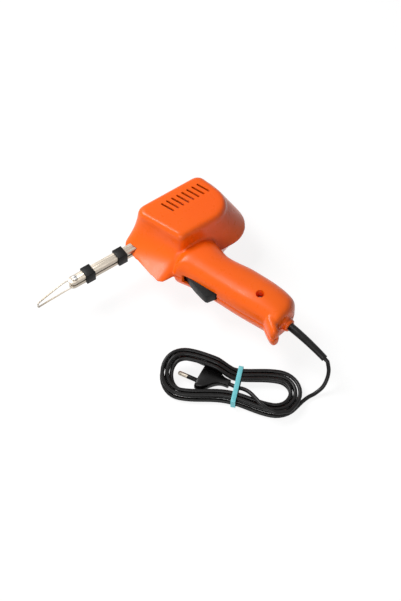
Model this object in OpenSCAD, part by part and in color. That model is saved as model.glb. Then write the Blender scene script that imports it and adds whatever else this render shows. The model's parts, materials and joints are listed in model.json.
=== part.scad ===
// Instant-heat soldering gun lying on its side, with its mains lead tied in a hank.
// Gun frame: X runs from the tip to the rear, Y from the handle to the head's top,
// Z up from the parting plane. place() moves it so that it lies on the lower casing.

/* [Casing] */
// Length of the head at the parting plane
head_len = 110; // [100:1:130]
// Height of the head at the parting plane
head_h = 70; // [64:1:82]
// Thickness of the head across both halves
head_t = 68; // [66:1:76]
// How far the head stands in front of the bars' zero point
head_front = 4; // [2:0.5:8]
// How far the head rises above the bars
head_rise = 17.5; // [15:0.5:24]
// Wall thickness of the casing
wall = 2.4; // [1.6:0.1:2.6]
// Distance from the bars down to the end of the handle
handle_len = 147; // [140:1:165]
// Depth of the handle, front to back
handle_w = 49; // [46:0.5:54]
// Thickness of the handle across both halves
handle_t = 37; // [36:0.5:44]
// Length of the lip below the handle's front
lip_len = 12; // [6:0.5:16]
// Number of cooling slots in each side
slot_count = 8; // [4:1:8]
// Width of a cooling slot
slot_w = 1.9; // [1:0.1:2.6]
// Length of a cooling slot
slot_len = 14.4; // [8:0.2:16]
// Distance between cooling slots
slot_step = 5.6; // [4.5:0.1:6]

/* [Heating bars] */
// Width of each bar
bar_w = 8.4; // [7:0.1:9]
// Thickness of each bar
bar_t = 3.2; // [2.4:0.1:3.6]
// Gap between the two bars
bar_gap = 1.8; // [1.4:0.1:2.4]
// How far the bars stand out of the head
bar_reach = 68; // [58:1:80]
// Length of each insulating clamp
clamp_len = 9.4; // [6:0.2:12]
// Wall of each insulating clamp round the bars
clamp_wall = 1.6; // [1:0.1:2.2]
// Centre of the front clamp in front of the head
front_clamp_x = 48; // [44:0.5:52]
// Centre of the rear clamp in front of the head
rear_clamp_x = 13.5; // [12:0.5:20]
// Diameter of the tip wire
wire_d = 1.5; // [1:0.1:1.8]
// How far the tip wire stands out of the bars
tip_reach = 35.5; // [28:0.5:45]

/* [Transformer] */
// Room beside the laminations out to each face of the casing
core_room = 7; // [7:0.5:9]
// How much lower the laminations are than the head
core_drop = 30; // [28:0.5:34]
// Thickness of the lamination stack
core_stack = 28; // [22:0.5:32]
// Thickness of the copper turn
turn_t = 2.4; // [1.6:0.1:2.6]

/* [Trigger] */
// Thickness of the trigger
trigger_t = 9.6; // [8:0.1:10]
// Full press of the trigger in degrees
trigger_press = 12; // [6:1:12]
// Diameter of the trigger's pivot pin
pivot_d = 3; // [2:0.1:3.4]
// Diameter of the switch plunger
plunger_d = 3.6; // [2.6:0.1:4]

/* [Lead] */
// Diameter of the lead
lead_d = 3.6; // [3:0.1:4]
// Diameter of the sleeve that guards the lead
sleeve_d = 7.6; // [7:0.1:9]
// Length of the sleeve outside the handle
sleeve_len = 42; // [30:1:60]
// Diameter of the plug's pins
pin_d = 4; // [4:0.1:4.8]
// Length of the plug's pins
pin_len = 19; // [17:0.5:19]
// Distance between the plug's pins
pin_pitch = 18.6; // [17.5:0.1:19]

/* [Hidden] */
fine = 48;
overrun = 1;
seat_gap = 0.3;
slip_gap = 0.1;

// Outline of the head as corners: x share, y share, and radius share of the head's height
parting_shares = [[-0.009, 0.92, 0.15], [0.008, 0.07, 0.1], [1, 0.05, 0.37], [0.985, 1.03, 0.17]];
crease_shares = [[0.132, 0.97, 0.12], [0.297, 0.212, 0.09], [0.9, 0.227, 0.33], [0.812, 0.975, 0.12]];
// How sharply each corner flares from the crease down to the parting plane
flare_powers = [1.3, 3.2, 1.1, 0.78];
// Height of each ring up to the crease, as shares of the head's half thickness
crease_share = 0.79;
ring_shares = [0, 0.1, 0.2, 0.32, 0.46, 0.62, 0.79];
// Raised cap above the crease: height share and inset share
cap_shares = [[0.88, 0.01], [0.955, 0.045], [0.99, 0.1], [1, 0.16]];
corner_steps = 6;
// Handle stations: y share, front share, rear share, half-thickness share, tilt
handle_shares = [
    [0.15, 0.72, 1.2, 0.6, 0.3], [0.215, 0.5, 1.27, 0.84, 0.28], [0.275, 0.34, 1.3, 0.97, 0.18],
    [0.32, 0.29, 1.29, 1.03, 0], [0.39, 0.4, 1.275, 1.02, 0],
    [0.45, 0.475, 1.29, 1, 0.02], [0.52, 0.545, 1.37, 0.98, 0.04], [0.6, 0.627, 1.475, 0.98, 0.06],
    [0.69, 0.708, 1.56, 0.98, 0.08], [0.78, 0.8, 1.63, 1, 0.1], [0.87, 0.9, 1.675, 0.98, 0.14],
    [0.94, 0.97, 1.675, 0.93, 0.18], [0.98, 0.985, 1.6, 0.84, 0.2], [1, 1.04, 1.51, 0.66, 0.2]];
// Lip stations below the handle's front, in the same shares
lip_shares = [
    [0.945, 0.94, 1.19, 0.76, 0], [1, 0.89, 1.12, 0.7, 0], [1.04, 0.875, 1.06, 0.62, 0], [1.058, 0.91, 1.03, 0.48, 0]];
section_steps = 10;
section_power = 0.78;

function mix(a, b, f) = a + (b - a) * f;
function corner_arc(p, q, r, radius) =
    let (u = (p - q) / norm(p - q), v = (r - q) / norm(r - q),
         half = acos(max(-1, min(1, u * v))) / 2,
         mid = (u + v) / norm(u + v),
         c = q + mid * radius / sin(half),
         a0 = atan2((q + u * radius / tan(half) - c)[1], (q + u * radius / tan(half) - c)[0]),
         a1 = atan2((q + v * radius / tan(half) - c)[1], (q + v * radius / tan(half) - c)[0]),
         turn = a1 - a0 > 180 ? a1 - a0 - 360 : a1 - a0 < -180 ? a1 - a0 + 360 : a1 - a0)
    [for (i = [0 : corner_steps]) c + radius * [cos(a0 + turn * i / corner_steps), sin(a0 + turn * i / corner_steps)]];
function rounded(corners) = let (n = len(corners))
    [for (i = [0 : n - 1]) each corner_arc([corners[(i + n - 1) % n][0], corners[(i + n - 1) % n][1]],
        [corners[i][0], corners[i][1]], [corners[(i + 1) % n][0], corners[(i + 1) % n][1]], corners[i][2])];
function head_corner(s) = [head_len * s[0] - head_front, head_rise - head_h * (1 - s[1]), head_h * s[2]];
function head_corners(t) = [for (i = [0 : 3])
    mix(head_corner(crease_shares[i]), head_corner(parting_shares[i]), pow(t, flare_powers[i]))];
function centre_of(ring) = [for (k = [0, 1]) (max([for (p = ring) p[k]]) + min([for (p = ring) p[k]])) / 2];
function size_of(ring) = [for (k = [0, 1]) (max([for (p = ring) p[k]]) - min([for (p = ring) p[k]]))];
function inset(ring, by) = let (c = centre_of(ring), s = size_of(ring))
    [for (p = ring) [for (k = [0, 1]) c[k] + (p[k] - c[k]) * (1 - 2 * by / s[k])]];
function lift(ring, z) = [for (p = ring) [p[0], p[1], z]];
function head_rings(less) = let (half = head_t / 2)
    concat([for (s = ring_shares) lift(inset(rounded(head_corners(1 - s / crease_share)), less), s * half)],
        [for (s = cap_shares) lift(inset(rounded(head_corners(0)), less + s[1] * half), s[0] * (half - less))]);
function bend(c) = c < 0 ? -pow(-c, section_power) : pow(c, section_power);
function section(y, x0, x1, h, tilt, full) = let (cx = (x0 + x1) / 2, w = (x1 - x0) / 2)
    [for (i = [0 : full ? 2 * section_steps - 1 : section_steps]) let (a = 180 * i / section_steps,
        x = cx + w * bend(cos(a))) [x, y + tilt * (x - cx), h * bend(sin(a))]];
function stations(shares, less, full) = let (last = shares[len(shares) - 1][0])
    [for (s = shares) section(-handle_len * s[0] + (s[0] == last ? less : 0), handle_w * s[1] + less,
        handle_w * s[2] - less, handle_t / 2 * s[3] - less, s[4], full)];

// Stacks rings into a closed solid; rings run anticlockwise seen from the last one
module skin(rings) {
    m = len(rings[0]);
    k = len(rings);
    polyhedron(points = [for (r = rings) each r],
        faces = concat([[for (i = [0 : m - 1]) i]], [[for (i = [m - 1 : -1 : 0]) (k - 1) * m + i]],
            [for (j = [0 : k - 2], i = [0 : m - 1], h = [0, 1])
                let (a = j * m + i, b = j * m + (i + 1) % m, c = a + m, d = b + m)
                h == 0 ? [a, c, d] : [a, d, b]]));
}
module block(x, y, z) translate([x[0], y[0], z[0]]) cube([x[1] - x[0], y[1] - y[0], z[1] - z[0]]);
module rod(at, z, d) translate([at[0], at[1], z[0]]) cylinder(d = d, h = z[1] - z[0], $fn = fine);
module rod_x(at, x, d) translate([x[0], at[0], at[1]]) rotate([0, 90, 0]) cylinder(d = d, h = x[1] - x[0], $fn = fine);
module rod_y(at, y, d) translate([at[0], y[0], at[1]]) rotate([-90, 0, 0]) cylinder(d = d, h = y[1] - y[0], $fn = fine);
module place() translate([-rest_x, rest_y, head_t / 2]) children();

// ---- casing
// Places down the handle are given for the length below and move with handle_len
handle_ref = 147;
function low(y) = y * handle_len / handle_ref;
function down(p) = [for (k = [0 : len(p) - 1]) k == 1 ? low(p[k]) : p[k]];
rest_x = 0.685;
rest_y = 68.415;
post_d = 8.5;
recess_d = 7.8;
screw_d = 3;
screw_head_d = 6;
screw_head_h = 2.4;
screw_grip = 8;
screw_bite = 9;
slot_lean = 18.8;
slot_at = [36.6, -1.4];
slot_bottom = 20;
handle_screw_at = down([56.7, -117.9]);
head_screw_at = [[93, -13], [22, -44]];
bar_slack = 0.35;
bar_y = -0.5;
core_w = head_t - 2 * core_room;
core_h = head_h - core_drop;
core_top = 6.2;
core_at = [53, head_rise - core_top - core_h / 2];
cradle_x = [44, 46];
cradle_step = 16;
cradle_open = 6;
cradle_rim = 4.8;
bar_rib_x = [10.5, 12.5];
bar_rib_y = [-13, 10];
trigger_slot_y = [for (y = [-89, -53.4]) low(y)];
trigger_slot_x = [8, 34];
trigger_slack = 0.4;
pivot = down([25.5, -60]);
pivot_boss_d = 8;
pivot_half = 9;
switch_x = [42, 56];
switch_y = [low(-72.5) - 6.5, low(-72.5) + 6.5];
switch_half = 5;
saddle_rim = 1.8;
saddle_z = 1;
stop_x = [48.4, 50.6];
spring_at = [low(-84), 0];
block_x = [51, 65];
block_y = [low(-99.5) - 4.5, low(-99.5) + 4.5];
block_half = 5.5;
exit_at = down([64.3, -144.5]);
exit_yaw = 9;
exit_deep = 5;
collar_out = 7.5;
collar_d = 12.4;
socket_d = 14;
flange_d = 10.4;
flange_t = 2;
sleeve_arc_r = 150;
grip_at = down([64.3, -128]);
grip_size = [17, 7, 3];
grip_screw_dx = 5.6;
grip_screw_d = 2.5;
grip_head_d = 4.6;
grip_head_h = 1.8;
grip_bite = 5;
lead_r = lead_d / 2;
tall = 40;

module at_exit(from) translate([exit_at[0], exit_at[1], 0]) rotate([0, 0, exit_yaw]) rotate([90, 0, 0])
    translate([0, 0, from]) children();
module exit_rod(from, to, d) at_exit(from) cylinder(d = d, h = to - from, $fn = fine);
module fill_half() {
    skin(head_rings(wall / 2));
    skin(stations(handle_shares, wall / 2, false));
}
module cavity_half() {
    skin(concat([lift(head_rings(wall)[0], -overrun)], head_rings(wall)));
    skin(stations(handle_shares, wall, true));
    skin(stations(lip_shares, wall, true));
}
// Ribs, posts and saddles common to both halves
module ribs() {
    for (x = [0, cradle_step]) difference() {
        block([cradle_x[0] + x, cradle_x[1] + x], [core_at[1] - core_h / 2 - cradle_rim, core_at[1] + core_h / 2 + cradle_rim],
            [cradle_open, tall]);
        block([cradle_x[0] + x - overrun, cradle_x[1] + x + overrun],
            [core_at[1] - core_h / 2 - band_t - seat_gap, core_at[1] + core_h / 2 + band_t + seat_gap],
            [-overrun, core_w / 2 + band_t + seat_gap]);
    }
    block(bar_rib_x, bar_rib_y, [bar_gap / 2 + bar_t + slip_gap, tall]);
    rod(pivot, [trigger_t / 2 + trigger_slack, tall], pivot_boss_d);
    difference() {
        block([switch_x[0] + saddle_rim, switch_x[1] - saddle_rim],
            [switch_y[0] - saddle_rim, switch_y[1] + saddle_rim], [saddle_z, tall]);
        block([switch_x[0], switch_x[1]], [switch_y[0] - slip_gap, switch_y[1] + slip_gap],
            [-overrun, switch_half + slip_gap]);
    }
    difference() {
        block([block_x[0] + slip_gap, block_x[0] + 2 * saddle_rim],
            [block_y[0] - saddle_rim, block_y[1] + saddle_rim], [saddle_z, tall]);
        block(block_x, [block_y[0] - slip_gap, block_y[1] + slip_gap], [-overrun, block_half + slip_gap]);
    }
    block(stop_x, [spring_at[0] - spring_d / 2 - saddle_rim, switch_y[0] - saddle_rim], [0, tall]);
    for (p = concat([handle_screw_at], head_screw_at)) rod(p, [0, tall], post_d + recess_d / 3);
}
module shell_half(recess_at, blind_at, saddle) difference() {
    union() {
        difference() {
            union() {
                skin(head_rings(0));
                skin(stations(handle_shares, 0, false));
                skin(stations(lip_shares, 0, false));
                intersection() {
                    exit_rod(0, collar_out, collar_d);
                    block([0, handle_w * 2], [-handle_len * 2, 0], [0, tall]);
                }
            }
            cavity_half();
        }
        intersection() {
            fill_half();
            union() {
                ribs();
                exit_rod(-exit_deep, 0, socket_d);
                if (saddle) block([grip_at[0] - grip_size[0] / 2, grip_at[0] + grip_size[0] / 2],
                    [grip_at[1] - grip_size[1] / 2, grip_at[1] + grip_size[1] / 2], [lead_r + slip_gap / 2, tall]);
            }
        }
    }
    for (i = [0 : slot_count - 1]) translate([slot_at[0] + slot_step * i + slot_len / 2 * sin(slot_lean),
            slot_at[1], slot_bottom]) rotate([0, 0, slot_lean]) linear_extrude(tall) {
        square([slot_w, slot_len - slot_w], center = true);
        for (k = [-1, 1]) translate([0, k * (slot_len - slot_w) / 2]) circle(d = slot_w, $fn = fine);
    }
    block([-head_front - tall, bar_rib_x[0]], [bar_y - bar_w / 2 - bar_slack, bar_y + bar_w / 2 + bar_slack],
        [-overrun, bar_gap / 2 + bar_t + bar_slack]);
    block(trigger_slot_x, trigger_slot_y, [-overrun, trigger_t / 2 + trigger_slack]);
    rod(pivot, [0, pivot_half + slip_gap], pivot_d + slip_gap / 2);
    exit_rod(-exit_deep - overrun, collar_out + overrun, sleeve_d + slip_gap);
    exit_rod(-flange_t - slip_gap - overrun, -overrun, flange_d + slip_gap * 2);
    if (saddle) for (k = [-1, 1]) rod([grip_at[0] + k * grip_screw_dx, grip_at[1]],
        [0, lead_r + grip_bite + slip_gap], grip_screw_d + slip_gap / 2);
    for (p = recess_at) {
        rod(p, [-overrun, tall], screw_d + slip_gap);
        rod(p, [screw_grip, tall], recess_d);
    }
    for (p = blind_at) rod(p, [-overrun, screw_bite + slip_gap], screw_d + slip_gap / 2);
}
module screw_at(p) {
    rod(p, [-screw_bite, screw_grip], screw_d);
    difference() {
        rod(p, [screw_grip, screw_grip + screw_head_h], screw_head_d);
        for (a = [0, 90]) translate([p[0], p[1], screw_grip + screw_head_h * 0.6]) rotate([0, 0, a])
            translate([-screw_head_d * 0.3, -screw_head_d * 0.08, 0]) cube([screw_head_d * 0.6, screw_head_d * 0.16, tall]);
    }
}
module upper_shell() color("orangered") place() shell_half([handle_screw_at], head_screw_at, false);
module lower_shell() color("orangered") place() mirror([0, 0, 1]) shell_half(head_screw_at, [handle_screw_at], true);
module handle_screw() color("silver") place() screw_at(handle_screw_at);
module head_screws() color("silver") place() mirror([0, 0, 1]) for (p = head_screw_at) screw_at(p);

// ---- bars, clamps and tip
wire_dy = 2.6;
wire_deep = 8;
tip_screw_x = 62;
tip_screw_d = 2.5;
tip_head_d = 5;
tip_head_h = 1.8;
bar_inside = 28;
turn_screw_x = [18, 24.5];
bar_z = bar_gap / 2 + bar_t / 2;
clamp_gap = 0.15;
module slotted_head(p, z, d, h) difference() {
    rod(p, [z, z + h], d);
    translate([p[0] - d, p[1] - d / 10, z + h * 0.5]) cube([d * 2, d / 5, h]);
}
module bar_pair_screw(x, y, z, d, head_d, head_h, bite) {
    rod([x, y], [z - bite, z], d);
    slotted_head([x, y], z, head_d, head_h);
}
// One bar above the parting plane, with its wire at the given side
module bar(side) difference() {
    translate([0, bar_y, bar_gap / 2]) linear_extrude(bar_t) difference() {
        union() {
            translate([-bar_reach + bar_w / 2, -bar_w / 2]) square([bar_reach - bar_w / 2 + bar_inside, bar_w]);
            translate([-bar_reach + bar_w / 2, 0]) circle(d = bar_w, $fn = fine);
        }
        translate([-tip_screw_x, 0]) circle(d = tip_screw_d + slip_gap / 2, $fn = fine);
        for (x = turn_screw_x) translate([x, 0]) circle(d = tip_screw_d + slip_gap / 2, $fn = fine);
    }
    rod_x([bar_y + side * wire_dy, bar_z], [-bar_reach - overrun, -bar_reach + wire_deep + overrun], wire_d + slip_gap);
}
module clamp(x) difference() {
    block([-x - clamp_len / 2, -x + clamp_len / 2], [bar_y - bar_w / 2 - clamp_wall, bar_y + bar_w / 2 + clamp_wall],
        [-bar_gap / 2 - bar_t - clamp_wall, bar_gap / 2 + bar_t + clamp_wall]);
    for (k = [0, 1]) mirror([0, 0, k]) block([-x - clamp_len, -x + clamp_len],
        [bar_y - bar_w / 2 - clamp_gap, bar_y + bar_w / 2 + clamp_gap],
        [bar_gap / 2 - clamp_gap, bar_gap / 2 + bar_t + clamp_gap]);
}
module upper_bar() color("silver") place() bar(1);
module lower_bar() color("silver") place() mirror([0, 0, 1]) bar(-1);
module front_clamp() color("dimgray") place() clamp(front_clamp_x);
module rear_clamp() color("dimgray") place() clamp(rear_clamp_x);
module tip_screws() color("silver") place() for (k = [0, 1]) mirror([0, 0, k])
    bar_pair_screw(-tip_screw_x, bar_y, bar_gap / 2 + bar_t, tip_screw_d, tip_head_d, tip_head_h, bar_t);

// Sweeps a round section along points; the up direction stays near Z
function unit(v) = v / norm(v);
function heading(p, i) = unit(i == 0 ? p[1] - p[0] : i == len(p) - 1 ? p[i] - p[i - 1]
    : unit(p[i + 1] - p[i]) + unit(p[i] - p[i - 1]));
function tube_rings(p, d, sides, up) = [for (i = [0 : len(p) - 1])
    let (t = heading(p, i), s = unit(cross(up, t)), u = cross(t, s))
    [for (k = [0 : sides - 1]) p[i] + d / 2 * (cos(360 * k / sides) * s + sin(360 * k / sides) * u)]];
module tube(p, d, sides, up = [0, 0, 1]) skin(tube_rings(p, d, sides, up));
function spline(p, steps) = let (n = len(p)) concat([for (i = [0 : n - 2], j = [0 : steps - 1])
    let (a = i == 0 ? 2 * p[0] - p[1] : p[i - 1], b = p[i], c = p[i + 1],
         d = i == n - 2 ? 2 * p[n - 1] - p[n - 2] : p[i + 2], t = j / steps)
    b + (c - a) * t / 2 + (2 * a - 5 * b + 4 * c - d) * t * t / 2 + (3 * b - a - 3 * c + d) * t * t * t / 2], [p[n - 1]]);

// The tip wire: from the upper bar to the bend and back to the lower bar
wire_turn_r = 1.2;
wire_reach_shares = [[0, 0], [0.12, 0], [0.3, 0.12], [0.6, 0.42], [0.85, 0.66], [0.96, 0.78]];
wire_back_shares = [[0.96, 0.74], [0.85, 0.6], [0.66, 0.32], [0.45, 0.3], [0.24, 0.02], [0.12, 0], [0, 0]];
tip_drop = [-3.3, -1.6];
function wire_point(side, s) = [-bar_reach - tip_reach * s[0],
    mix(bar_y + side * wire_dy, bar_y + tip_drop[0] + side * wire_turn_r * 0.4, s[1]),
    mix(side * bar_z, tip_drop[1] + side * wire_turn_r, s[1])];
wire_path = concat([[-bar_reach + wire_deep, bar_y + wire_dy, bar_z]],
    [for (s = wire_reach_shares) wire_point(1, s)],
    [for (a = [60, 20, -20, -60]) [-bar_reach - tip_reach * 0.965 - wire_turn_r * cos(a) * 0.9,
        bar_y + tip_drop[0] + wire_turn_r * 0.4 * sin(a), tip_drop[1] + wire_turn_r * sin(a)]],
    [for (s = wire_back_shares) wire_point(-1, s)],
    [[-bar_reach + wire_deep, bar_y - wire_dy, -bar_z]]);
module tip_loop() color("silver") place() tube(wire_path, wire_d, 12, [0, 1, 0]);

// ---- transformer
limb = core_w / 6;
air = slip_gap / 2;
turn_side = 0.4;
coil_gap = 1.3;
bobbin_t = 0.8;
coil_t = limb - turn_t - turn_side - coil_gap - bobbin_t + seat_gap;
flange_step = coil_t + turn_side;
turn_w = 8;
turn_in = core_w / 2 - limb - turn_t - turn_side;
band_t = 0.8;
band_w = 9;
core_x = [core_at[0] - core_stack / 2, core_at[0] + core_stack / 2];
core_y = [core_at[1] - core_h / 2, core_at[1] + core_h / 2];
window_y = [core_y[0] + limb, core_y[1] - limb];
turn_y = window_y[1] - turn_w / 2 - slip_gap * 2;
module core_e_stack() color("slategray") place() {
    block(core_x, [window_y[1], core_y[1]], [-core_w / 2, core_w / 2]);
    for (k = [-1, 1]) block(core_x, [window_y[0] + air, window_y[1] + air],
        [k * core_w / 2 - (k > 0 ? limb : 0), k * core_w / 2 + (k > 0 ? 0 : limb)]);
    block(core_x, [window_y[0] + air, window_y[1] + air], [-limb, limb]);
}
module core_i_stack() color("slategray") place() block(core_x, [core_y[0], window_y[0]], [-core_w / 2, core_w / 2]);
module core_band() color("gray") place() difference() {
    block([core_at[0] - band_w / 2, core_at[0] + band_w / 2], [core_y[0] - band_t, core_y[1] + band_t],
        [-core_w / 2 - band_t, core_w / 2 + band_t]);
    block([core_at[0] - band_w, core_at[0] + band_w], [core_y[0] - air, core_y[1] + air],
        [-core_w / 2 - air, core_w / 2 + air]);
}
// Rectangular tube round the middle limb
module limb_tube(in, out, y) difference() {
    block([core_x[0] - out, core_x[1] + out], y, [-limb - out, limb + out]);
    block([core_x[0] - in, core_x[1] + in], [y[0] - overrun, y[1] + overrun], [-limb - in, limb + in]);
}
module coil_bobbin() color("ivory") place() {
    limb_tube(air, bobbin_t, [window_y[0] + air * 2, window_y[1] - air]);
    for (y = [window_y[0] + air * 2, window_y[1] - air - bobbin_t]) limb_tube(air, flange_step, [y, y + bobbin_t]);
}
module primary_coil() color("sienna") place()
    limb_tube(bobbin_t + air, bobbin_t + coil_t - seat_gap, [window_y[0] + air * 3 + bobbin_t, window_y[1] - air * 2 - bobbin_t]);
// Half of the copper turn above the parting plane: tab on the bar, riser, run and rear leg
turn_x = [28.4, 79];
module turn_half() {
    block([turn_screw_x[0] - turn_w / 2, turn_x[0] + turn_t], [turn_y - turn_w / 2, turn_y + turn_w / 2],
        [bar_gap / 2 + bar_t, bar_gap / 2 + bar_t + turn_t]);
    block([turn_x[0], turn_x[0] + turn_t], [turn_y - turn_w / 2, turn_y + turn_w / 2],
        [bar_gap / 2 + bar_t, turn_in + turn_t]);
    block([turn_x[0], turn_x[1]], [turn_y - turn_w / 2, turn_y + turn_w / 2], [turn_in, turn_in + turn_t]);
    block([turn_x[1] - turn_t, turn_x[1]], [turn_y - turn_w / 2, turn_y + turn_w / 2], [0, turn_in + turn_t]);
}
module copper_turn() color("peru") place() difference() {
    for (k = [0, 1]) mirror([0, 0, k]) turn_half();
    for (x = turn_screw_x) rod([x, bar_y], [-tall, tall], tip_screw_d + slip_gap / 2);
}
module turn_screws() color("silver") place() for (k = [0, 1], x = turn_screw_x) mirror([0, 0, k])
    bar_pair_screw(x, bar_y, bar_gap / 2 + bar_t + turn_t, tip_screw_d, tip_head_d, tip_head_h, turn_t + bar_t - air);

// ---- trigger and switch
trigger_edge = [for (p = [[21.5, -54.2], [20.9, -62], [20.6, -70], [20.9, -79], [21.6, -84.4],
    [22.8, -86], [31.6, -87.4], [34, -88.4], [34.5, -91], [36.8, -91], [38, -88], [36.4, -80.6],
    [32.6, -78], [31.4, -70], [30.2, -56.4], [28.8, -54.2]]) down(p)];
nose_at = down([33.1, -73.4]);
nose_d = 2.4;
plunger_at = [low(-72.5), 0];
plunger_x = [34.6, 49.5];
plunger_neck_x = 45;
plunger_collar_t = 1.4;
plunger_collar_d = 6;
plunger_tail_d = 2.4;
chamber_x = [44.9, 53.5];
chamber_d = 7;
spring_d = 6;
spring_wire = 0.9;
spring_turns = 4;
spring_x = [37.1, 48.1];
tab_x = [56, 60];
tab_z = [2, 2.8];
tab_w = 4;
module trigger() color("dimgray") place() difference() {
    translate([0, 0, -trigger_t / 2]) linear_extrude(trigger_t) {
        polygon(trigger_edge);
        translate(nose_at) circle(d = nose_d, $fn = fine);
    }
    rod(pivot, [-trigger_t, trigger_t], pivot_d + slip_gap);
}
module trigger_pin() color("silver") place() rod(pivot, [-pivot_half, pivot_half], pivot_d);
module switch_body() color("black") place() difference() {
    block(switch_x, switch_y, [-switch_half, switch_half]);
    rod_x(plunger_at, [switch_x[0] - overrun, chamber_x[1]], plunger_d + slip_gap);
    rod_x(plunger_at, chamber_x, chamber_d);
}
module switch_plunger() color("ivory") place() {
    rod_x(plunger_at, [plunger_x[0], plunger_neck_x + plunger_collar_t], plunger_d);
    rod_x(plunger_at, [plunger_neck_x, plunger_neck_x + plunger_collar_t], plunger_collar_d);
    rod_x(plunger_at, [plunger_neck_x, plunger_x[1]], plunger_tail_d);
}
module switch_tabs() color("gold") place() for (k = [0, 1]) mirror([0, 0, k])
    block(tab_x, [plunger_at[0] - tab_w / 2, plunger_at[0] + tab_w / 2], tab_z);
spring_rings = spring_turns * 12;
module trigger_spring() color("silver") place() tube([for (i = [0 : spring_rings]) let (a = 360 * i / 12,
        r = (spring_d - spring_wire) / 2, f = i / spring_rings)
    [mix(spring_x[0] + spring_wire / 2, spring_x[1] - spring_wire / 2, f), spring_at[0] + r * cos(a), spring_at[1] + r * sin(a)]],
    spring_wire, 6, [1, 0, 0]);

// ---- wiring inside the handle
grip_z = lead_r + slip_gap / 2;
wire_thin_d = 1.6;
block_screw_dx = 3.5;
coil_lead_route = concat([[36.2, window_y[0] - 0.7, 11], [36.2, window_y[0] - 3.7, 11], [36.6, window_y[0] - 14.3, 8.6]],
    [for (p = [[44, -46.5, 8], [53.5, -55, 8], [57.4, -64, 8], [58, -72, 7.4], [60, -86, 4], [60.5, -92, 3],
        [60.5, -94.95, 3]]) down(p)]);
switch_lead_route = [for (p = [[60.1, -72.5, 2.4], [60.9, -72.5, 2.4], [61.7, -73.4, 2.4],
    [61.9, -78, 1.8], [60, -84.5, 0], [55.2, -89, 0], [54.2, -93, 0], [54.2, -94.95, 0]]) down(p)];
inner_route = [for (p = [[62, -104.02, 0], [62, -106, 0], [62, -108, 0], [64.6, -114, 0],
    [65, -121, 0], [63.9, -130, 0], [62.95, -136, 0], [64.06, -143, 0]]) down(p)];
sleeve_bend = sleeve_len / sleeve_arc_r * 180 / PI;
sleeve_shares = [0.14, 0.28, 0.42, 0.56, 0.7, 0.84, 0.98, 1];
function on_exit(l) = [exit_at[0] + l * sin(exit_yaw), exit_at[1] - l * cos(exit_yaw), 0];
function on_sleeve(f) = on_exit(collar_out + sleeve_arc_r * sin(f * sleeve_bend))
    - [0, 0, sleeve_arc_r * (1 - cos(f * sleeve_bend))];
module arc_tube(outer, inner) multmatrix([
        [0, sin(exit_yaw), cos(exit_yaw), on_exit(collar_out)[0]],
        [0, -cos(exit_yaw), sin(exit_yaw), on_exit(collar_out)[1]],
        [1, 0, 0, -sleeve_arc_r], [0, 0, 0, 1]])
    rotate_extrude(angle = sleeve_bend, $fn = fine * 4) translate([sleeve_arc_r, 0]) difference() {
        circle(d = outer, $fn = fine);
        circle(d = inner, $fn = fine);
    }
module terminal_block() color("ivory") place() difference() {
    block(block_x, block_y, [-block_half, block_half]);
    for (k = [-1, 1]) rod([(block_x[0] + block_x[1]) / 2 + k * block_screw_dx, (block_y[0] + block_y[1]) / 2],
        [block_half - grip_head_h, tall], grip_screw_d + slip_gap);
}
module coil_leads() color("firebrick") place() for (k = [0, 1]) mirror([0, 0, k])
    tube(spline(coil_lead_route, 3), wire_thin_d, 8);
module switch_leads() color("navy") place() tube(spline(switch_lead_route, 3), wire_thin_d, 8);
module inner_cord() color("black") place() tube(concat(spline(inner_route, 2), [for (l = [1, collar_out / 2, collar_out]) on_exit(l)],
    [for (f = sleeve_shares) on_sleeve(f)]), lead_d, 8);
module cord_grip() color("silver") place() difference() {
    translate([0, 0, 0]) block([grip_at[0] - grip_size[0] / 2, grip_at[0] + grip_size[0] / 2],
        [grip_at[1] - grip_size[1] / 2, grip_at[1] + grip_size[1] / 2], [grip_z, grip_z + grip_size[2]]);
    for (k = [-1, 1]) rod([grip_at[0] + k * grip_screw_dx, grip_at[1]], [0, tall], grip_screw_d + slip_gap / 2);
}
module grip_screws() color("silver") place() for (k = [-1, 1])
    bar_pair_screw(grip_at[0] + k * grip_screw_dx, grip_at[1], grip_z + grip_size[2], grip_screw_d, grip_head_d,
        grip_head_h, grip_size[2] + 2 * grip_z + grip_bite);
module cord_sleeve() color("black") place() {
    arc_tube(sleeve_d, lead_d + seat_gap * 2);
    difference() {
        union() {
            exit_rod(-exit_deep, collar_out, sleeve_d);
            exit_rod(-overrun - flange_t, -overrun, flange_d);
        }
        exit_rod(-exit_deep - overrun, collar_out + overrun, lead_d + seat_gap * 2);
    }
}

// ---- free lead, hank, tie and plug, in the part's own frame
tie_at = [0.815, -92.285];
hank_yaw = -47.3;
hank_mid = -6.5;
hank_half = 62.5;
lobe_w = 21.8;
waist_dip = 5.6;
turn_count = 5;
turn_step = 4.2;
layer_step = 5.4;
hank_raise = 0.9;
hank_lift = 11.2;
ring_count = 24;
first_ring = 4;
lift_from = 12.6;
lift_full = 16.8;
lift_keep = 19.8;
lift_end = 21.3;
end_straight = 3.6;
tie_t = 0.5;
tie_w = 4.2;
tie_slack = 0.3;
plug_neck_at = [-7, 1.15, 5.5];
plug_tilt = 15;
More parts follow.
